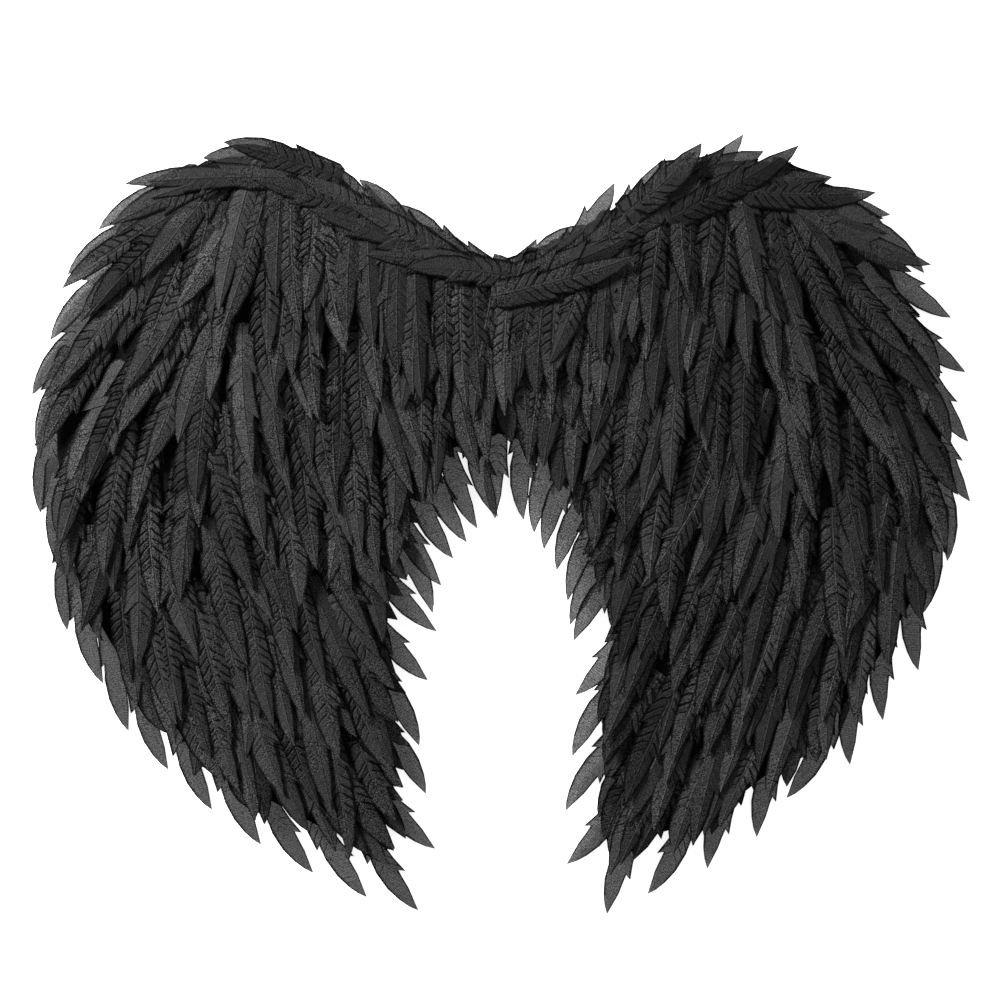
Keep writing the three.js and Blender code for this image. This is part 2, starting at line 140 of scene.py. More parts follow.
# Drops are shares of the height and edges are shares of the reach. The leans are degrees from
# straight down, outwards, of the feathers at the inner edge, in the middle and at the outer edge,
# and of the fringe at the inner edge.
Section = namedtuple("Section", "drop inner outer lean_in lean_mid lean_out fringe_in")
SECTIONS = [
    Section(0.01, 0.454, 0.608, -4, 12, 66, -4),
    Section(0.026, 0.395, 0.675, -6, 8, 70, -4),
    Section(0.061, 0.304, 0.764, -7, 0, 66, -4),
    Section(0.124, 0.143, 0.85, -5, -6, 58, -4),
    Section(0.155, 0.0, 0.873, -2, -8, 54, -4),
    Section(0.232, 0.0, 0.923, -2, -10, 46, -4),
    Section(0.33, 0.0, 0.984, -2, -13, 27, -6),
    Section(0.406, 0.0, 1.0, -3, -15, 18, -8),
    Section(0.429, 0.113, 1.0, -16, -16, 15, -21),
    Section(0.474, 0.181, 0.993, -22, -16, 11, -28),
    Section(0.539, 0.231, 0.982, -26, -17, 3, -33),
    Section(0.634, 0.277, 0.946, -28, -18, -6, -40),
    Section(0.709, 0.277, 0.88, -29, -20, -11, -42),
    Section(0.774, 0.27, 0.816, -31, -22, -17, -42),
    Section(0.847, 0.265, 0.714, -33, -26, -22, -41),
    Section(0.926, 0.265, 0.558, -35, -31, -28, -38),
    Section(0.98, 0.27, 0.401, -35, -33, -32, -36),
    Section(1.0, 0.275, 0.3, -35, -34, -34, -35),
]
SPINE_TOP = 4
SPINE_FOOT = 7
LOWER_CORNER = len(SECTIONS) - 1

left_low, left_high = (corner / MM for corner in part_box("wing_panel_left"))
right_low, right_high = (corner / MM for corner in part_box("wing_panel_right"))
SPINE_X = (left_low.x + right_high.x) / 2
SHOULDER_Y = right_high.y
REACH = (right_high.x - left_low.x) / 2
HEIGHT = right_high.y - right_low.y
SPINE_MIDDLE = -HEIGHT * (SECTIONS[SPINE_TOP].drop + SECTIONS[SPINE_FOOT].drop) / 2

Wing = namedtuple("Wing", "name sign seed")
LEFT = Wing("left", -1, 3)
RIGHT = Wing("right", 1, 11)


def tent_height(reach, y):
    """The height of the tent, in millimetres, which falls from the flat middle to the rim."""
    radius = math.hypot(reach, (y - SPINE_MIDDLE) * TENT_ROUNDNESS)
    share = max(0, radius - FLAT_RADIUS) / (FOOT_RADIUS - FLAT_RADIUS)
    return SPINE_RISE * max(0, 1 - share)


def placed(wing, reach, y, z):
    """The point of a place on a wing, given in millimetres from the spine and the shoulder."""
    return Vector((SPINE_X + reach * wing.sign, SHOULDER_Y + y, z)) * MM


def new_material(name):
    material = bpy.data.materials.new(name)
    material.use_nodes = True
    return material, material.node_tree, material.node_tree.nodes["Principled BSDF"]


def calculate(tree, operation, first, second=0.0):
    """A Math node on two numbers or sockets."""
    node = tree.nodes.new("ShaderNodeMath")
    node.operation = operation
    for socket, value in zip(node.inputs, (first, second)):
        if isinstance(value, (int, float)):
            socket.default_value = value
        else:
            tree.links.new(value, socket)
    return node.outputs[0]


def remap(tree, value, low, high, new_low, new_high):
    """A Map Range node that eases from one range to another."""
    node = tree.nodes.new("ShaderNodeMapRange")
    node.interpolation_type = "SMOOTHSTEP"
    tree.links.new(value, node.inputs["Value"])
    node.inputs["From Min"].default_value = low
    node.inputs["From Max"].default_value = high
    node.inputs["To Min"].default_value = new_low
    node.inputs["To Max"].default_value = new_high
    return node.outputs[0]


def speckle(tree, scale, detail=2.0):
    """A Noise node on the object's own coordinates, in metres."""
    place = tree.nodes.new("ShaderNodeTexCoord").outputs["Object"]
    node = tree.nodes.new("ShaderNodeTexNoise")
    node.inputs["Scale"].default_value = scale
    node.inputs["Detail"].default_value = detail
    tree.links.new(place, node.inputs["Vector"])
    return node.outputs["Fac"]


def shade(tree, colour, amount):
    """A colour from black at 0 to twice itself at 2."""
    node = tree.nodes.new("ShaderNodeMix")
    node.data_type = "RGBA"
    node.inputs[6].default_value = (0, 0, 0, 1)
    node.inputs[7].default_value = (2 * colour[0], 2 * colour[1], 2 * colour[2], 1)
    tree.links.new(calculate(tree, "MULTIPLY", amount, 0.5), node.inputs[0])
    return node.outputs[2]


def bumped(tree, height, depth):
    """A normal from a height, with the depth in millimetres that a height of 1 stands for."""
    node = tree.nodes.new("ShaderNodeBump")
    node.inputs["Distance"].default_value = depth * MM
    node.inputs["Strength"].default_value = 1.0
    tree.links.new(height, node.inputs["Height"])
    return node.outputs[0]


felt, tree, shader = new_material("black_felt")
fibres = speckle(tree, 420, 5.0)
fibre_light = remap(tree, fibres, 0.3, 0.7, 0.5, 1.7)
tree.links.new(shade(tree, FELT_COLOUR, fibre_light), shader.inputs["Base Color"])
tree.links.new(bumped(tree, fibres, 0.7), shader.inputs["Normal"])
shader.inputs["Roughness"].default_value = 0.95
shader.inputs["Specular IOR Level"].default_value = 0.03
shader.inputs["Sheen Weight"].default_value = 0.01
shader.inputs["Sheen Roughness"].default_value = 0.6


def finished_piece(form, name, material, nodes, crease=50):
    """Turns a bmesh into a piece that rides on the wings and stands for the named nodes."""
    mesh = bpy.data.meshes.new(name)
    form.to_mesh(mesh)
    form.free()
    mesh.polygons.foreach_set("use_smooth", [True] * len(mesh.polygons))
    mesh.set_sharp_from_angle(angle=math.radians(crease))
    mesh.materials.append(material)
    piece = bpy.data.objects.new(name, mesh)
    bpy.context.scene.collection.objects.link(piece)
    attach(piece, "root")
    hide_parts(*nodes)
    return piece


form = bmesh.new()
for wing in (LEFT, RIGHT):
    half = bmesh.ops.create_grid(form, x_segments=FELT_COLUMNS, y_segments=LOWER_CORNER, size=1)
    for corner in half["verts"]:
        section = SECTIONS[round((1 - corner.co.y) / 2 * LOWER_CORNER)]
        across = (corner.co.x + 1) / 2
        reach = (section.inner + (section.outer - section.inner) * across) * REACH
        y = -section.drop * HEIGHT
        corner.co = placed(wing, reach, y, tent_height(reach, y) + FELT_BOTTOM + FELT_THICKNESS)
    if wing is LEFT:
        bmesh.ops.reverse_faces(form, faces=form.faces[:])
bmesh.ops.remove_doubles(form, verts=form.verts[:], dist=0.01 * MM)
felt_area = sum(face.calc_area() for face in form.faces)
bmesh.ops.solidify(form, geom=form.faces[:], thickness=FELT_THICKNESS * MM)
felt_back = finished_piece(
    form, "felt_back", felt, ["spine_panel", "wing_panel_left", "wing_panel_right"]
)


# Shoulder straps: two loops of plain black elastic, 25 mm wide, sewn to the back of the felt
# beside the spine. They lie flat under the wings.
STRAP_WIDTH = 25
STRAP_THICKNESS = 1.2
STRAP_LOOP_REACH = 92
STRAP_ANCHOR_REACH = 54
STRAP_ANCHOR_SPACING = 96
STRAP_ABOVE_MIDDLE = 21
STRAP_SEWN = 12
STRAP_FLOOR_REACH = 118
STRAP_STEPS = 40
STRAP_COLUMNS = 4
STRAP_RIB_PITCH = 1.8
STRAP_WEAVE_LENGTH = 300  # of the weave's pattern, over the whole strap
STRAP_UNDER_FELT = 0.3  # between the sewn ends and the felt
STRAP_COLOUR = (0.012, 0.012, 0.012, 1)

elastic, tree, shader = new_material("black_elastic")
uv = tree.nodes.new("ShaderNodeUVMap")
uv.uv_map = "weave"
split = tree.nodes.new("ShaderNodeSeparateXYZ")
tree.links.new(uv.outputs[0], split.inputs[0])
ribs = calculate(tree, "SINE", calculate(tree, "MULTIPLY", split.outputs["X"], 2 * math.pi))
picks = calculate(tree, "SINE", calculate(tree, "MULTIPLY", split.outputs["Y"], 2 * math.pi))
webbing = calculate(tree, "ADD", calculate(tree, "MULTIPLY", picks, 0.4), ribs)
tree.links.new(bumped(tree, webbing, 0.12), shader.inputs["Normal"])
webbing_light = remap(tree, webbing, -1.2, 1.2, 0.6, 1.4)
tree.links.new(shade(tree, STRAP_COLOUR, webbing_light), shader.inputs["Base Color"])
shader.inputs["Roughness"].default_value = 0.7
shader.inputs["Specular IOR Level"].default_value = 0.2


def strap_middle(turn):
    """The middle line of a loop, from its upper end at a turn of 0 to its lower end at pi."""
    reach = STRAP_ANCHOR_REACH + STRAP_LOOP_REACH * math.sin(turn)
    return reach, SPINE_MIDDLE + STRAP_ABOVE_MIDDLE + STRAP_ANCHOR_SPACING / 2 * math.cos(turn)


def strap_level(reach):
    """The height of the strap, which comes down from the felt to the floor in a soft S."""
    sewn_end = STRAP_ANCHOR_REACH + STRAP_SEWN
    share = min(max((reach - sewn_end) / (STRAP_FLOOR_REACH - sewn_end), 0), 1)
    return (SPINE_RISE + FELT_BOTTOM - STRAP_UNDER_FELT) * (1 - share * share * (3 - 2 * share))


for wing in (LEFT, RIGHT):
    form = bmesh.new()
    weave = form.loops.layers.uv.new("weave")
    band = bmesh.ops.create_grid(form, x_segments=STRAP_COLUMNS, y_segments=STRAP_STEPS, size=1)
    for face in form.faces:
        for loop in face.loops:
            loop[weave].uv = (loop.vert.co.x * STRAP_WIDTH / 2, loop.vert.co.y * STRAP_WEAVE_LENGTH / 2)
            loop[weave].uv /= STRAP_RIB_PITCH
    for corner in band["verts"]:
        share = corner.co.x
        turn = (corner.co.y + 1) / 2 * math.pi
        reach, y = strap_middle(turn)
        ahead, ahead_y = strap_middle(turn + 0.001)
        side = Vector((y - ahead_y, ahead - reach)).normalized() * share * STRAP_WIDTH / 2
        z = max(strap_level(reach), STRAP_THICKNESS)
        corner.co = placed(wing, reach + side.x, y + side.y, z)
    strap_area = sum(face.calc_area() for face in form.faces)
    bmesh.ops.recalc_face_normals(form, faces=form.faces[:])
    form.faces.ensure_lookup_table()
    if form.faces[0].normal.z < 0:
        bmesh.ops.reverse_faces(form, faces=form.faces[:])
    bmesh.ops.solidify(form, geom=form.faces[:], thickness=STRAP_THICKNESS * MM)
    node = f"strap_{wing.name}"
    strap = finished_piece(form, f"{node}_elastic", elastic, [node])


# Fringe: single feathers of black polyester cloth, die-cut with saw teeth along both edges, and
# pressed while hot so that barbs slant off a midrib. They are glued under the rim of the felt, and
# the floor shows through them.
FEATHER_WIDTH = 30
FEATHER_THICKNESS = 0.45
BARB_SLANT = 0.9  # how much further towards the tip a barb reaches for each step off the midrib
BARB_PITCH = 8
BARB_SWEEP = 0.35  # by which the pressed lines lie flatter than the slant, for each step off the midrib
BARB_BOW = 0.03  # and bow back, by the square of the distance
BARB_WANDER = 9
COMB_PITCH = 2.3  # of the notches in the inner edge of the painted shade along the cut edges
THREAD_PITCH = 2.1
FLAT_TIP = 26  # from the tip, with hardly any barbs
FLAT_TIP_FADE = 25  # over which they then grow to their full depth
MIDRIB_HEIGHT = 0.35
GRAIN_HEIGHT = 0.9
THREAD_HEIGHT = 0.03
RIM_COVER = 0.16
GROOVE_COVER = 0.3
GRAIN_COVER = 0.07
FRINGE_PITCH = 47
FRINGE_OVERHANG = 68
FRINGE_TUCK = 30
FRINGE_LEVEL = 0.5
FRINGE_EXTRA = 4
FRINGE_DROOP = 4  # degrees by which the fringe hangs closer to straight down than the table says
FRINGE_CROWN = 0.7
THIN_WIDTH = 0.87  # of the single thin feathers, as a share of the others'
CLOTH_COLOUR = (0.0175, 0.0175, 0.0178, 1)
FRINGE_ALPHA = 0.75
UV_WIDTH = 100  # millimetres across a blade to one unit of U
UV_LENGTH = 200  # millimetres along the barbs' own lines to one unit of V

# Edges run from the tip to the root, with distances as shares of the feather's length and widths
# as shares of half its width. A notch undercuts each tooth along the barbs.
Edge = namedtuple("Edge", "from_tip width")
SMOOTH_EDGE = [
    Edge(0.0, 0.02),
    Edge(0.06, 0.3),
    Edge(0.15, 0.56),
    Edge(0.28, 0.78),
    Edge(0.45, 0.82),
    Edge(0.58, 0.66),
    Edge(0.545, 1.0),
    Edge(0.74, 0.84),
    Edge(0.86, 0.8),
    Edge(0.92, 0.6),
    Edge(0.96, 0.35),
]
TOOTHED_EDGE = [
    Edge(0.0, 0.02),
    Edge(0.08, 0.18),
    Edge(0.2, 0.4),
    Edge(0.385, 0.52),
    Edge(0.35, 0.88),
    Edge(0.5, 0.7),
    Edge(0.665, 0.6),
    Edge(0.63, 0.98),
    Edge(0.78, 0.76),
    Edge(0.86, 0.8),
    Edge(0.92, 0.6),
    Edge(0.96, 0.35),
]
BLADE_COLUMNS = 2
MIDRIB_CREASE = 14
ROOT_SHARE = 0.18  # of the length, over which the rows straighten towards the root
HAND_TURN = 5  # blades bend to one hand, so each is turned back by this angle
HAND_SHARE = 0.85  # of the feathers, cut to that hand

Feather = namedtuple("Feather", "reach y lean length width tone crown bend roll curl toothed")


def pressed_cloth_group():
    """Pressed feather cloth, drawn from a blade's UV map: its colour, roughness and height, and by
    how much it covers more or less of what lies under it than plain cloth does."""
    group = bpy.data.node_groups.new("pressed_feather_cloth", "ShaderNodeTree")
    for name, kind, way in (
        ("Barb Depth", "NodeSocketFloat", "INPUT"),
        ("Cloth Colour", "NodeSocketColor", "INPUT"),
        ("Colour", "NodeSocketColor", "OUTPUT"),
        ("Roughness", "NodeSocketFloat", "OUTPUT"),
        ("Height", "NodeSocketFloat", "OUTPUT"),
        ("Cover", "NodeSocketFloat", "OUTPUT"),
    ):
        group.interface.new_socket(name, in_out=way, socket_type=kind)
    given = group.nodes.new("NodeGroupInput")
    result = group.nodes.new("NodeGroupOutput")
    uv = group.nodes.new("ShaderNodeUVMap")
    uv.uv_map = "blade"
    split = group.nodes.new("ShaderNodeSeparateXYZ")
    group.links.new(uv.outputs[0], split.inputs[0])
    tone = group.nodes.new("ShaderNodeAttribute")
    tone.attribute_name = "tone"
    across = group.nodes.new("ShaderNodeAttribute")
    across.attribute_name = "across"

    off_midrib = calculate(group, "SUBTRACT", split.outputs["X"], 0.5)
    off_midrib = calculate(group, "ABSOLUTE", calculate(group, "MULTIPLY", off_midrib, UV_WIDTH))
    barb_line = calculate(group, "MULTIPLY", split.outputs["Y"], UV_LENGTH)
    slant = calculate(group, "MULTIPLY", off_midrib, BARB_SLANT)
    from_tip = calculate(group, "SUBTRACT", barb_line, slant)

    # From the tip to the root a barb rises fast, then slowly, and falls sharply. Barbs bow as they
    # leave the midrib, and are uneven in pitch and depth. Each feather has barbs of its own depth.
    bow = calculate(group, "MULTIPLY", calculate(group, "POWER", off_midrib, 2), BARB_BOW)
    bow = calculate(group, "SUBTRACT", bow, calculate(group, "MULTIPLY", off_midrib, BARB_SWEEP))
    wander = calculate(group, "SUBTRACT", speckle(group, 60), 0.5)
    wander = calculate(group, "MULTIPLY", wander, BARB_WANDER)
    line = calculate(group, "ADD", calculate(group, "ADD", barb_line, bow), wander)
    saw = calculate(group, "FRACT", calculate(group, "DIVIDE", line, BARB_PITCH))
    fast_rise = remap(group, saw, 0.0, 0.28, 0.0, 0.6)
    slow_rise = remap(group, saw, 0.2, 0.85, 0.0, 0.4)
    fall = remap(group, saw, 0.85, 1.0, 1.0, 0.0)
    barb = calculate(group, "MULTIPLY", calculate(group, "ADD", fast_rise, slow_rise), fall)
    patches = remap(group, speckle(group, 22), 0.35, 0.6, 0.3, 1.0)
    depth = calculate(group, "MULTIPLY", patches, given.outputs["Barb Depth"])
    chosen = calculate(group, "FRACT", calculate(group, "MULTIPLY", tone.outputs["Fac"], 9.0))
    depth = calculate(group, "MULTIPLY", depth, remap(group, chosen, 0.1, 0.65, 0.25, 1.45))
    off_tip = remap(group, from_tip, FLAT_TIP, FLAT_TIP + FLAT_TIP_FADE, 0.12, 1.0)
    depth = calculate(group, "MULTIPLY", depth, off_tip)
    depth = calculate(group, "MULTIPLY", depth, remap(group, off_midrib, 0.3, 3.0, 0.0, 1.0))

    midrib = calculate(group, "MULTIPLY", remap(group, off_midrib, 0.0, 1.0, 1.0, 0.0), MIDRIB_HEIGHT)
    grain = speckle(group, 900)
    threads = calculate(group, "SINE", calculate(group, "MULTIPLY", from_tip, 2 * math.pi / THREAD_PITCH))
    threads = calculate(group, "MULTIPLY", threads, THREAD_HEIGHT)
    height = calculate(group, "ADD", calculate(group, "MULTIPLY", barb, depth), midrib)
    height = calculate(group, "ADD", height, calculate(group, "MULTIPLY", grain, GRAIN_HEIGHT))
    height = calculate(group, "ADD", height, threads)

    # Flecks of worn cloth are lighter. The grooves between barbs are darkened as painted shade, and so is
    # a band with a notched inner edge along the cut rim, for the shade in the gaps at the feathers'
    # edges.
    flecks = calculate(group, "SUBTRACT", remap(group, grain, 0.37, 0.63, 0.25, 1.9), 1.0)
    wear = remap(group, speckle(group, 34), 0.4, 0.58, 0.5, 1.3)
    light = calculate(group, "ADD", calculate(group, "MULTIPLY", flecks, wear), 1.05)
    light = calculate(group, "MULTIPLY", light, tone.outputs["Fac"])
    # Painted shade: the cloth is darker in the grooves between barbs, more so where the barbs are deeper.
    groove = calculate(group, "MULTIPLY", remap(group, barb, 0.0, 0.5, 1.0, 0.0), depth)
    light = calculate(group, "MULTIPLY", light, remap(group, groove, 0.1, 0.8, 1.0, 0.12))
    # Painted shade: a dark band along the cut edges of each half, with a notched inner edge.
    comb = calculate(group, "SINE", calculate(group, "MULTIPLY", line, 2 * math.pi / COMB_PITCH))
    rim = calculate(group, "ADD", across.outputs["Fac"], calculate(group, "MULTIPLY", comb, 0.05))
    rim_shade_factor = remap(group, rim, 0.77, 0.88, 1.0, 0.03)
    light = calculate(group, "MULTIPLY", light, rim_shade_factor)

    # The rim and the grooves, darkened as painted shade, also cover more, and the weave lets light
    # through between threads.
    rim_shade_cover = calculate(group, "MULTIPLY", calculate(group, "SUBTRACT", 1.0, rim_shade_factor), RIM_COVER)
    cover = calculate(group, "ADD", rim_shade_cover, threads)
    cover = calculate(group, "ADD", cover, calculate(group, "MULTIPLY", groove, GROOVE_COVER))
    cover = calculate(group, "ADD", cover, remap(group, grain, 0.35, 0.65, GRAIN_COVER, -GRAIN_COVER))
    colour = group.nodes.new("ShaderNodeVectorMath")
    colour.operation = "SCALE"
    group.links.new(given.outputs["Cloth Colour"], colour.inputs[0])
    group.links.new(light, colour.inputs["Scale"])
    group.links.new(colour.outputs[0], result.inputs["Colour"])
    group.links.new(remap(group, grain, 0.35, 0.65, 0.62, 0.4), result.inputs["Roughness"])
    group.links.new(height, result.inputs["Height"])
    group.links.new(cover, result.inputs["Cover"])
    return group


pressed_cloth = pressed_cloth_group()


def feather_cloth_material(name, barb_depth):
    material, tree, shader = new_material(name)
    cloth = tree.nodes.new("ShaderNodeGroup")
    cloth.node_tree = pressed_cloth
    cloth.inputs["Barb Depth"].default_value = barb_depth
    cloth.inputs["Cloth Colour"].default_value = CLOTH_COLOUR
    tree.links.new(cloth.outputs["Colour"], shader.inputs["Base Color"])
    tree.links.new(cloth.outputs["Roughness"], shader.inputs["Roughness"])
    tree.links.new(bumped(tree, cloth.outputs["Height"], 1.0), shader.inputs["Normal"])
    shader.inputs["Specular IOR Level"].default_value = 0.05
    return material, tree, shader, cloth


fringe_cloth, tree, shader, cloth = feather_cloth_material("fringe_cloth", 0.45)
tree.links.new(calculate(tree, "ADD", cloth.outputs["Cover"], FRINGE_ALPHA), shader.inputs["Alpha"])


def step(reach, y, lean, distance):
    """The place a distance off, in a direction that leans outwards from straight down."""
    angle = math.radians(lean)
    return reach + math.sin(angle) * distance, y - math.cos(angle) * distance


def blade_widths(edge, feather, rows):
    """Half the blade's width at each row, and the rows at which the edge has its corners."""
    half = FEATHER_WIDTH / 2 * feather.width
    length = feather.length
    lines = [share.from_tip * length + BARB_SLANT * share.width * half for share in edge]
    return np.interp(rows, lines, [share.width * half for share in edge]), lines


def add_feather(form, wing, feather, level):
    """Shapes a grid into one blade. level gives the height of its edges over a place."""
    length = feather.length
    ends = blade_widths(SMOOTH_EDGE, feather, [])[1] + blade_widths(TOOTHED_EDGE, feather, [])[1]
    rows = sorted({round(min(line, length), 1) for line in ends})
    smooth = blade_widths(SMOOTH_EDGE, feather, rows)[0]
    toothed = blade_widths(TOOTHED_EDGE, feather, rows)[0]
    blade = form.loops.layers.uv.verify()
    tone = form.verts.layers.float["tone"]
    share_across = form.verts.layers.float["across"]
    last = len(rows) - 1
    grid = bmesh.ops.create_grid(form, x_segments=BLADE_COLUMNS, y_segments=last, size=1)["verts"]
    unfolded = {}
    for corner in grid:
        across = corner.co.x
        row = round((1 - corner.co.y) / 2 * last)
        width = across * (toothed[row] if across > 0 else smooth[row])
        near_root = min(max(rows[row] / length - (1 - ROOT_SHARE), 0) / ROOT_SHARE, 1)
        from_tip = rows[row] - BARB_SLANT * abs(width) * (1 - near_root)
        out = max(1 - from_tip / length, 0)
        side = (width + feather.bend * (out**2.2 - 0.5)) * feather.toothed
        reach, y = step(feather.reach, feather.y, feather.lean, length - from_tip)
        reach, y = step(reach, y, feather.lean + 90, side)
        fullness = (smooth[row] + toothed[row]) / FEATHER_WIDTH
        crown = feather.crown * fullness * (1 - abs(across))
        ripple = noise.noise(Vector((reach * wing.sign, y, feather.tone * 40)) / 18)
        z = level(reach, y) + crown + feather.roll * width + feather.curl * out**3 + ripple
        corner.co = placed(wing, reach, y, max(z, FEATHER_THICKNESS))
        corner[tone] = feather.tone
        corner[share_across] = abs(across)
        unfolded[corner] = (0.5 + width / UV_WIDTH, rows[row] / UV_LENGTH)
    faces = {face for corner in grid for face in corner.link_faces}
    for face in faces:
        for loop in face.loops:
            loop[blade].uv = unfolded[loop.vert]
    if wing.sign * feather.toothed > 0:
        bmesh.ops.reverse_faces(form, faces=list(faces))


def varied_feather(chance, wing, reach, y, lean, length):
    """A feather with its own width, tone, crown, bend, roll and curl."""
    toothed = wing.sign if chance.random() < HAND_SHARE else -wing.sign
    return Feather(
        reach,
        y,
        lean,
        length,
        width=chance.uniform(0.9, 1.12),
        tone=chance.uniform(0.6, 1.45),
        crown=chance.uniform(2.0, 4.4),
        bend=chance.uniform(4, 12),
        roll=chance.gauss(0, 0.09),
        curl=chance.uniform(-0.5, 3.0),
        toothed=toothed,
    )


def feather_piece(feathers_and_levels, wing, name, material, *nodes):
    """One piece from all the feathers of a row or band."""
    form = bmesh.new()
    form.loops.layers.uv.new("blade")
    form.verts.layers.float.new("tone")
    form.verts.layers.float.new("across")
    for feather, level in feathers_and_levels:
        add_feather(form, wing, feather, level)
    bmesh.ops.solidify(form, geom=form.faces[:], thickness=FEATHER_THICKNESS * MM)
    return finished_piece(form, name, material, nodes, MIDRIB_CREASE)


def path_length(path):
    return sum(math.dist(a, b) for a, b in zip(path, path[1:]))


def edge_path(start, end, side):
    """The inner or outer edge of the felt between two sections."""
    turn = 1 if end >= start else -1
    chosen = [SECTIONS[i] for i in range(start, end + turn, turn)]
    return [(getattr(s, side) * REACH, -s.drop * HEIGHT) for s in chosen]


def point_along(path, distance):
    i = 1
    while i < len(path) - 1 and distance > math.dist(path[i - 1], path[i]):
        distance -= math.dist(path[i - 1], path[i])
        i += 1
    a, b = path[i - 1], path[i]
    mix = distance / math.dist(a, b)
    return a[0] + (b[0] - a[0]) * mix, a[1] + (b[1] - a[1]) * mix


RIM = edge_path(SPINE_FOOT, LOWER_CORNER, "inner") + edge_path(LOWER_CORNER, 1, "outer")
RIM_LEANS = [SECTIONS[i].fringe_in for i in range(SPINE_FOOT, LOWER_CORNER + 1)]
RIM_LEANS += [SECTIONS[i].lean_out for i in range(LOWER_CORNER, 0, -1)]
RIM_STOPS = [path_length(RIM[: i + 1]) for i in range(len(RIM))]


def fringe_feathers(wing):
    """One feather to a pitch round the rim, and a few more between them at the foot of the spine."""
    chance = random.Random(wing.seed)
    count = round(RIM_STOPS[-1] / FRINGE_PITCH)
    places = sorted([*range(count), *(i - 0.5 for i in range(FRINGE_EXTRA))])
    for i, place in enumerate(places):
        distance = (place + 0.3 + wing.seed / 40) * RIM_STOPS[-1] / count
        if distance < 0:
            continue
        reach, y = point_along(RIM, distance)
        lean = float(np.interp(distance, RIM_STOPS, RIM_LEANS))
        lean += chance.gauss(0, 3) - math.copysign(FRINGE_DROOP, lean)
        length = (FRINGE_OVERHANG + FRINGE_TUCK) * chance.uniform(0.96, 1.04)
        reach, y = step(reach, y, lean, -FRINGE_TUCK)
        feather = varied_feather(chance, wing, reach, y, lean, length)
        # Painted light: the thin single feathers get a lighter tone, for the light that comes through
        # them from the floor.
        tone = chance.uniform(1.0, 1.8)
        feather = feather._replace(width=THIN_WIDTH, crown=FRINGE_CROWN, curl=0, roll=0, tone=tone)
        lift = FRINGE_LEVEL + (i % 2) * 0.5
        yield feather, lambda reach, y, lift=lift: tent_height(reach, y) + lift


for wing in (LEFT, RIGHT):
    name = f"fringe_feathers_{wing.name}"
    feather_piece(fringe_feathers(wing), wing, name, fringe_cloth, f"fringe_{wing.name}")


# Rows of covering feathers of the same cloth, sewn to the felt along arcs round a point above each
# shoulder. Each row lies over the roots of the next one down.
FEATHER_LENGTH = 128
ROW_COUNT = 8
ROW_PITCH = 72
ROW_BANDS = 2
FEATHER_PITCH = 23
ROW_CENTRE = (175, 62)
FIRST_ROW_RADIUS = 96
ROW_BOTTOM = 4.2
ROW_LIFT = 5
ROW_OVERHANG = 30
ROW_JITTER = 15  # by which a root lies off its arc
ROOT_MARGIN = 3  # from a root to the edge of the felt
TRIMMED_LENGTHS = (1, 0.9, 0.8, 0.7, 0.6)

feather_cloth = feather_cloth_material("feather_cloth", 1.8)[0]


def section_at(drop):
    """The table of sections read at any share of the height."""
    share = min(max(drop, 0), 1)
    below = next(i for i in range(1, len(SECTIONS)) if SECTIONS[i].drop >= share)
    start, end = SECTIONS[below - 1], SECTIONS[below]
    mix = (share - start.drop) / (end.drop - start.drop)
    return Section(*(a + (b - a) * mix for a, b in zip(start, end)))


def is_on_felt(reach, y, margin=0):
    """Whether a place is on the felt, and at least a margin inside its inner and outer edges."""
    section = section_at(-y / HEIGHT)
    inner = 0 if section.inner == 0 else section.inner * REACH + margin
    return 0 <= -y / HEIGHT <= 1 and inner <= max(reach, 0) <= section.outer * REACH - margin


def lean_at(reach, y):
    """The lean of the feathers at a place, from those at the edges and in the middle."""
    section = section_at(-y / HEIGHT)
    across = (reach / REACH - section.inner) / (section.outer - section.inner)
    across = min(max(across, 0), 1)
    if across < 0.5:
        return section.lean_in + (section.lean_mid - section.lean_in) * across * 2
    mix = (across - 0.5) * 2
    mix = mix * mix * (3 - 2 * mix)
    return section.lean_mid + (section.lean_out - section.lean_mid) * mix


def trimmed_length(reach, y, lean, length):
    """The longest of the trimmed lengths whose tip stays near the felt, or 0."""
    for share in TRIMMED_LENGTHS:
        if is_on_felt(*step(reach, y, lean, length * share - ROW_OVERHANG)):
            return length * share
    return 0


def row_feathers(wing, row):
    """Two bands of feathers to a row, the second half a pitch further out."""
    chance = random.Random(100 * wing.seed + row)
    for band in range(ROW_BANDS * row, ROW_BANDS * (row + 1)):
        radius = FIRST_ROW_RADIUS + band * ROW_PITCH / ROW_BANDS
        turn_step = FEATHER_PITCH / radius
        count = math.ceil(math.pi / turn_step)
        for i in range(-count, count + 1):
            turn = (i + (band % 2) / 2 + chance.uniform(-0.2, 0.2)) * turn_step
            jitter = chance.uniform(-ROW_JITTER, ROW_JITTER)
            reach, y = step(*ROW_CENTRE, math.degrees(turn), radius + jitter)
            if reach < ROOT_MARGIN or not is_on_felt(reach, y, ROOT_MARGIN):
                continue
            lean = lean_at(reach, y) - HAND_TURN * wing.sign + chance.gauss(0, 6)
            length = trimmed_length(reach, y, lean, FEATHER_LENGTH * chance.uniform(0.9, 1.06))
            if not length:
                continue
            lift = (i % 2) * 1.1 + chance.uniform(0, 0.5)

            def level(reach, y, radius=radius, lift=lift):
                out = max(math.dist((abs(reach), y), ROW_CENTRE) - radius, 0)
                return tent_height(reach, y) + ROW_BOTTOM + ROW_LIFT * out / ROW_PITCH + lift

            yield varied_feather(chance, wing, reach, y, lean, length), level


for wing in (LEFT, RIGHT):
    for row in range(ROW_COUNT):
        place = f"{wing.name}_{row + 1:02d}"
        feathers = row_feathers(wing, row)
        feather_piece(feathers, wing, f"feathers_{place}", feather_cloth, f"feather_row_{place}")


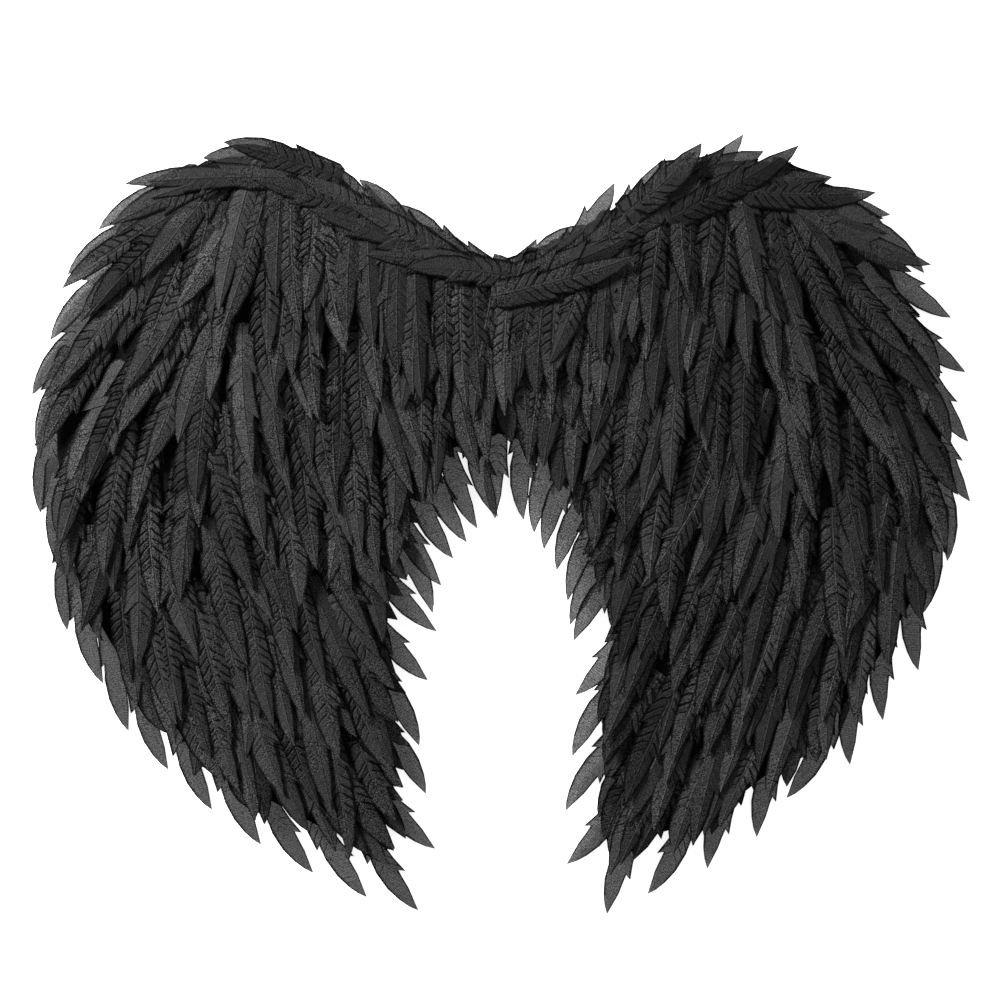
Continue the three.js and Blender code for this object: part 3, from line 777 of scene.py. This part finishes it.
# Inner band: flatter feathers of the same cloth along the inner edge of each wing, under the rows,
# that cover the felt where the rows end.
INNER_PITCH = 20
INNER_TUCK = 58
INNER_OVERHANG = 26
INNER_FULL_REACH = 100  # the band overhangs less than that nearer to the spine
INNER_CROWN = 1.6
INNER_EDGE = edge_path(SPINE_FOOT, LOWER_CORNER, "inner")


def inner_feathers(wing):
    chance = random.Random(80 + wing.seed)
    for i in range(round(path_length(INNER_EDGE) / INNER_PITCH)):
        edge = point_along(INNER_EDGE, (i + 0.4) * INNER_PITCH)
        lean = section_at(-edge[1] / HEIGHT).lean_in + chance.gauss(0, 4)
        root = step(*edge, lean, -INNER_TUCK)
        length = INNER_TUCK + INNER_OVERHANG * min(edge[0] / INNER_FULL_REACH, 1)
        feather = varied_feather(chance, wing, *root, lean, length * chance.uniform(0.92, 1.08))
        feather = feather._replace(crown=INNER_CROWN, curl=0)
        lift = (i % 2) * 0.8
        yield feather, lambda reach, y, lift=lift: tent_height(reach, y) + ROW_BOTTOM + lift


for wing in (LEFT, RIGHT):
    feather_piece(inner_feathers(wing), wing, f"feathers_{wing.name}_inner", feather_cloth)


# Top row: two bands of feathers of the same kind that hang from the top edge, over all the others.
TOP_PITCH = 23
TOP_TUCKS = (20, 4)
TOP_LIFT = 1.6
TOP_EDGE = edge_path(SPINE_TOP, 0, "inner") + edge_path(0, 3, "outer")


def top_feathers(wing):
    chance = random.Random(70 + wing.seed)
    count = round(path_length(TOP_EDGE) / TOP_PITCH)
    for i in range(count * len(TOP_TUCKS)):
        band = i // count
        edge = point_along(TOP_EDGE, (i % count + 0.25 + band / 2) * TOP_PITCH)
        lean = lean_at(*edge) - HAND_TURN * wing.sign + chance.gauss(0, 5)
        root = step(*edge, lean, TOP_TUCKS[band])
        length = trimmed_length(*root, lean, FEATHER_LENGTH * chance.uniform(0.8, 1.05))
        if not length:
            continue

        def level(reach, y, root=root, lift=(i % 2) * 1.2 + chance.uniform(0, 0.5)):
            climb = ROW_LIFT * math.dist((reach, y), root) / ROW_PITCH
            return tent_height(reach, y) + ROW_BOTTOM + TOP_LIFT + climb + lift

        yield varied_feather(chance, wing, *root, lean, length), level


for wing in (LEFT, RIGHT):
    feather_piece(top_feathers(wing), wing, f"feathers_{wing.name}_top", feather_cloth)


# Crest: feathers laid one over the next just inside the top edge, with their tips outwards.
# They cross over the spine and fan out at the shoulders. Single thin ones show beyond them.
CREST_LENGTH = 98
CREST_PITCH = 27
CREST_INSET = 17
CREST_LIFT = 6
CREST_RISE = 3
CREST_TURN_OUT = 3
CREST_TURN_IN = 7
CREST_TIP_PITCH = 34
CREST_TIPS = 5
CREST_TIP_TURN = 16
CREST_TIP_LIFT = 4
CREST_TIP_CROWN = 0.8
CREST_PATH = edge_path(SPINE_TOP, 0, "inner")
LAID_BEND = 8
CREST_ALPHA = 0.84

# The feathers that lie over the spine and at the shoulders, by the place of each tip from the spine
# and the shoulder.
Laid = namedtuple("Laid", "wing reach y lean length lift")
LAID_FEATHERS = [
    Laid("left", 4, -85, 174, 32, 3.0),
    Laid("right", 36, -81, 168, 30, 3.5),
    Laid("left", 78, -98, 99, 92, 9.0),
    Laid("right", 114, -88, 102, 124, 10.5),
    Laid("left", 240, -152, 7, 112, 1.2),
    Laid("left", 264, -150, 15, 112, 1.5),
    Laid("left", 300, -128, 32, 112, 2.0),
    Laid("left", 370, -114, 60, 128, 4.5),
    Laid("left", 328, -60, 70, 124, 5.0),
    Laid("left", 296, -38, 79, 112, 5.5),
    Laid("left", 251, -4, 99, 96, 6.0),
    Laid("left", 317, -26, 91, 140, 7.5),
    Laid("left", 233, 9, 112, 104, 8.5),
    Laid("right", 258, -140, 10, 112, 1.5),
    Laid("right", 224, 2, 98, 90, 4.5),
    Laid("right", 366, -94, 64, 128, 4.5),
    Laid("right", 328, -67, 68, 112, 5.0),
    Laid("right", 282, -20, 84, 100, 5.5),
    Laid("right", 319, -33, 86, 124, 6.5),
    Laid("right", 253, 6, 116, 128, 8.0),
    Laid("right", 171, 8, 128, 90, 8.5),
]

crest_cloth, tree, shader, cloth = feather_cloth_material("crest_cloth", 1.0)
tree.links.new(calculate(tree, "ADD", cloth.outputs["Cover"], CREST_ALPHA), shader.inputs["Alpha"])


def along_crest(distance):
    """A place just inside the top edge, and the lean of the edge there."""
    start = point_along(CREST_PATH, distance)
    ahead = point_along(CREST_PATH, distance + CREST_LENGTH * 0.7)
    along = math.degrees(math.atan2(ahead[0] - start[0], start[1] - ahead[1]))
    return step(*start, along - 90, CREST_INSET), along


def crest_feathers(wing):
    chance = random.Random(50 + wing.seed)
    laid = []
    for i in range(-1, math.ceil((path_length(CREST_PATH) - CREST_LENGTH) / CREST_PITCH) + 1):
        start, along = along_crest((i + 0.2 + wing.seed / 40) * CREST_PITCH)
        lean = along + (CREST_TURN_OUT if i % 2 else -CREST_TURN_IN) + chance.gauss(0, 2)
        length = CREST_LENGTH * chance.uniform(0.95, 1.05)
        laid.append(Laid(wing.name, *start, lean, length, CREST_LIFT + 0.5 * (i % 2)))
    for row in LAID_FEATHERS:
        if row.wing == wing.name:
            reach, y = step(row.reach, row.y, row.lean, -row.length)
            reach, y = step(reach, y, row.lean + 90, -LAID_BEND / 2 * wing.sign)
            laid.append(row._replace(reach=reach, y=y))
    for row in laid:

        def level(reach, y, row=row):
            climb = CREST_RISE * math.dist((reach, y), (row.reach, row.y)) / CREST_LENGTH
            return tent_height(reach, y) + ROW_BOTTOM + row.lift + climb

        feather = varied_feather(chance, wing, row.reach, row.y, row.lean, row.length)
        yield feather._replace(bend=LAID_BEND, toothed=wing.sign), level


def crest_tips(wing):
    chance = random.Random(60 + wing.seed)
    for i in range(CREST_TIPS):
        start, along = along_crest((i - 0.4 + wing.seed / 20) * CREST_TIP_PITCH)
        lean = along + CREST_TIP_TURN + chance.gauss(0, 4)
        length = CREST_LENGTH * chance.uniform(0.8, 1.0)
        feather = varied_feather(chance, wing, *start, lean, length)
        # Painted light: the thin single feathers get a lighter tone, for the light that comes through
        # them from the floor.
        tone = chance.uniform(1.0, 1.7)
        feather = feather._replace(width=THIN_WIDTH, crown=CREST_TIP_CROWN, curl=0, tone=tone)
        yield feather, lambda reach, y: tent_height(reach, y) + ROW_BOTTOM + CREST_TIP_LIFT


for wing in (LEFT, RIGHT):
    name = f"crest_feathers_{wing.name}"
    feather_piece(crest_feathers(wing), wing, name, crest_cloth, f"crest_{wing.name}")
    feather_piece(crest_tips(wing), wing, f"crest_tips_{wing.name}", fringe_cloth)
